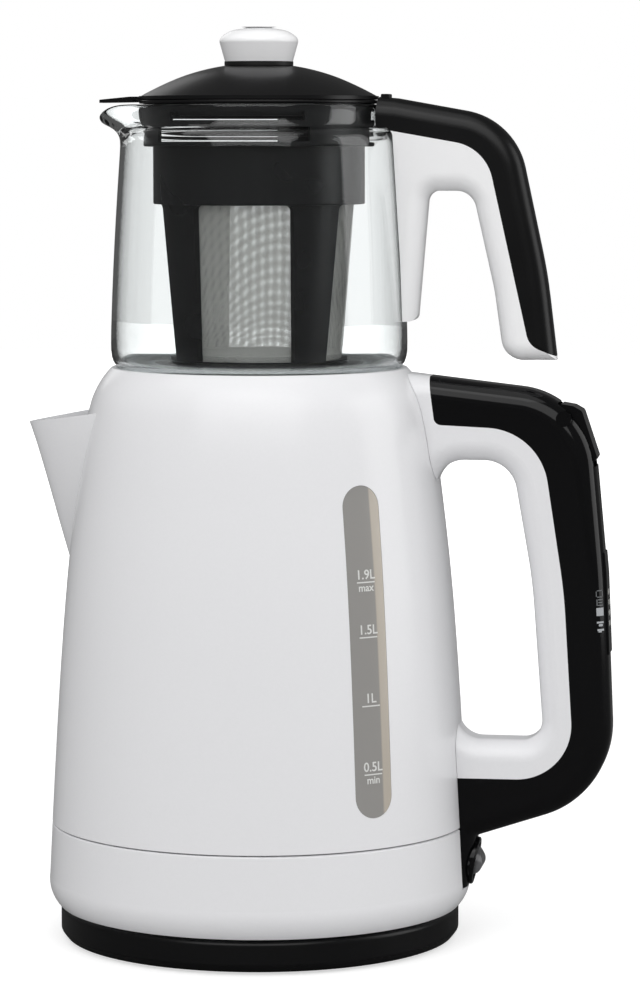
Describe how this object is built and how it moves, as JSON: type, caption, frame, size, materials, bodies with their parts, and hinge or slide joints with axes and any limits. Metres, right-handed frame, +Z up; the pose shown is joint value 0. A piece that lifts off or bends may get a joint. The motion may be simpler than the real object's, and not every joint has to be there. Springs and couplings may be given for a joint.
{
  "type": "automatic tea maker",
  "caption": "Electric tea maker: a cordless kettle on a round base with a glass teapot, lift-out tea filter and domed lid on top.",
  "frame": {"origin": "on the kettle's vertical axis at the plane its feet stand on", "axes": "+X towards both handles, +Z up, +Y to the back, where the cord gland is"},
  "size_m": [0.2368, 0.1702, 0.3656],
  "materials": {
    "gloss_white": "smooth glossy",
    "moulded_grey": "fine moulded texture",
    "gloss_black": "glossy",
    "satin_black": "satin",
    "connector_black": "matt",
    "smoke_grey": "glossy translucent",
    "clear_glass": "polished",
    "frosted_window": "glossy translucent",
    "lamp_lens": "translucent",
    "steel": "brushed",
    "zinc_steel": "bright zinc",
    "element_steel": "satin",
    "aluminium": "satin",
    "brass": "bright",
    "silicone": "matt",
    "black_silicone": "matt",
    "adhesive": "matt",
    "board_green": "lacquered",
    "filter_grey": "satin"
  },
  "bodies": {
    "base": {"base_shell": "satin_black", "base_bottom_cover": "moulded_grey", "base_feet": "black_silicone", "base_screws": "zinc_steel", "power_connector": "connector_black", "connector_contacts": "brass", "cord_gland": "satin_black"},
    "socket": {"socket_housing": "connector_black", "socket_contacts": "brass"},
    "kettle": {"kettle_body": "gloss_white", "kettle_skirt": "gloss_white", "kettle_bottom_cover": "moulded_grey", "bottom_screws": "zinc_steel", "heater_plate": "steel", "heat_spreader": "aluminium", "plate_seal": "silicone", "heating_element": "element_steel", "thermostat": "connector_black", "seat_ring": "gloss_white", "seat_gasket": "silicone", "level_window": "frosted_window", "window_seal": "silicone", "scale_filter_frame": "filter_grey", "scale_filter_mesh": "steel", "kettle_handle_inner": "gloss_white", "kettle_handle_cover": "gloss_black", "handle_screws": "zinc_steel", "button_pin": "zinc_steel", "button_spring": "zinc_steel", "light_panel": "gloss_black", "indicator_lenses": "lamp_lens", "light_board": "board_green", "switch_bezel": "gloss_black"},
    "thumb_button": {"thumb_button": "gloss_black"},
    "power_rocker": {"power_rocker": "smoke_grey"},
    "teapot": {"glass_pot": "clear_glass", "pot_handle_inner": "gloss_white", "pot_handle_cover": "satin_black", "handle_adhesive": "adhesive", "pot_handle_screw": "zinc_steel"},
    "tea_filter": {"filter_collar": "satin_black", "filter_cage": "satin_black", "filter_mesh": "steel", "filter_floor": "steel"},
    "lid": {"lid_dome": "satin_black", "knob_seal": "black_silicone", "lid_knob": "gloss_white", "knob_screw": "zinc_steel"}
  },
  "joints": [
    {"name": "kettle_lift", "type": "slide", "parent": "base", "child": "socket", "axis": [0, 0, 1], "range_m": [0, 0.06]},
    {"name": "kettle_turn", "type": "hinge", "parent": "socket", "child": "kettle", "pos_m": [0, 0, 0], "axis": [0, 0, 1], "continuous": true},
    {"name": "thumb_press", "type": "hinge", "parent": "kettle", "child": "thumb_button", "pos_m": [0.1234, 0, 0.2118], "axis": [0, 1, 0], "range_deg": [0, 5], "stiffness_Nm_per_rad": 0.35, "springref_deg": -2.86},
    {"name": "rocker_tilt", "type": "hinge", "parent": "kettle", "child": "power_rocker", "pos_m": [0.08553, 0, 0.03306], "axis": [0, -1, 0], "range_deg": [0, 24]},
    {"name": "pot_lift", "type": "slide", "parent": "kettle", "child": "teapot", "axis": [0, 0, 1], "range_m": [0, 0.06]},
    {"name": "filter_lift", "type": "slide", "parent": "teapot", "child": "tea_filter", "axis": [0, 0, 1], "range_m": [0, 0.12]},
    {"name": "lid_lift", "type": "slide", "parent": "tea_filter", "child": "lid", "axis": [0, 0, 1], "range_m": [0, 0.03]}
  ]
}
